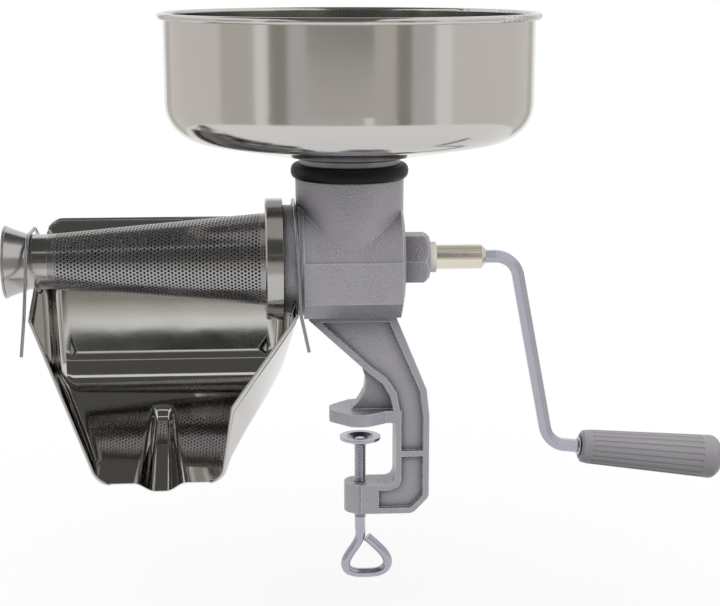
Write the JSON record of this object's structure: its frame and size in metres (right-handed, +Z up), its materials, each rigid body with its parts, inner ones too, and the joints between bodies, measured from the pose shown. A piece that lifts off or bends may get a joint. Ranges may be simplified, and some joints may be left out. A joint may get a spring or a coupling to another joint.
{
  "type": "hand-cranked food mill",
  "caption": "Hand-cranked tomato press: steel hopper bowl on a cast body with a table clamp, a conical screen with a drip tray, and a hexagonal crank with a fluted grip.",
  "frame": {"origin": "centre of the upper jaw's flat underside, on the clamp screw's axis", "axes": "+X along the shaft from the screen outlet to the crank, +Y away from the open side of the tray, +Z up"},
  "size_m": [0.4874, 0.2492, 0.3893],
  "materials": {
    "casting": "grey cast paint",
    "bowl_steel": "polished spun stainless",
    "screen_steel": "satin stainless",
    "tray_steel": "mirror stainless sheet",
    "zinc": "bright zinc",
    "wire": "drawn wire",
    "sleeve": "yellow passivated",
    "nylon": "natural nylon",
    "dark_nylon": "dark grey nylon",
    "rubber": "black rubber",
    "grip": "satin grey",
    "neck": "dark grey"
  },
  "bodies": {
    "frame": {"body_casting": "casting", "shaft_bush": "nylon", "thrust_washer": "nylon", "screen_seal": "rubber", "drip_tray": "tray_steel"},
    "hopper": {"hopper_bowl": "bowl_steel", "hopper_neck": "neck", "hopper_gasket": "rubber"},
    "screen": {"screen_ring": "screen_steel", "screen_cone": "screen_steel", "screen_outlet": "screen_steel"},
    "crank": {"drive_shaft": "sleeve", "auger": "dark_nylon", "crank_arm": "zinc", "crank_set_screw": "zinc", "grip_washer": "zinc", "grip_retainer": "zinc"},
    "grip": {"crank_grip": "grip"},
    "pad": {"clamp_pad": "zinc"},
    "screw": {"clamp_screw": "zinc"},
    "outlet_latch": {"outlet_clip": "wire"},
    "collar_latch": {"collar_clip": "wire"}
  },
  "joints": [
    {"name": "crank_turn", "type": "hinge", "parent": "frame", "child": "crank", "pos_m": [0.05, 0, 0.112], "axis": [1, 0, 0], "continuous": true},
    {"name": "grip_spin", "type": "hinge", "parent": "crank", "child": "grip", "pos_m": [0.15259, 0, -0.02255], "axis": [0.9945, 0, -0.1045], "continuous": true},
    {"name": "hopper_lift", "type": "slide", "parent": "frame", "child": "hopper", "axis": [0, 0, 1], "range_m": [0, 0.06]},
    {"name": "screen_lock", "type": "hinge", "parent": "frame", "child": "screen", "pos_m": [-0.06, 0, 0.112], "axis": [1, 0, 0], "range_deg": [0, 70]},
    {"name": "clamp_travel", "type": "slide", "parent": "frame", "child": "pad", "axis": [0, 0, 1], "range_m": [-0.026, 0.0115]},
    {"name": "clamp_turn", "type": "hinge", "parent": "pad", "child": "screw", "pos_m": [0, 0, -0.05], "axis": [0, 0, 1], "range_deg": [-7440, 3300]},
    {"name": "outlet_clip_swing", "type": "hinge", "parent": "frame", "child": "outlet_latch", "pos_m": [-0.2172, 0.0405, 0.122], "axis": [-1, 0, 0], "range_deg": [0, 90]},
    {"name": "collar_clip_swing", "type": "hinge", "parent": "frame", "child": "collar_latch", "pos_m": [-0.044, 0.0405, 0.122], "axis": [-1, 0, 0], "range_deg": [0, 10]}
  ],
  "couplings": [
    {"joint": "clamp_travel", "follows": "clamp_turn", "m_per_rad": 0.00019894}
  ]
}
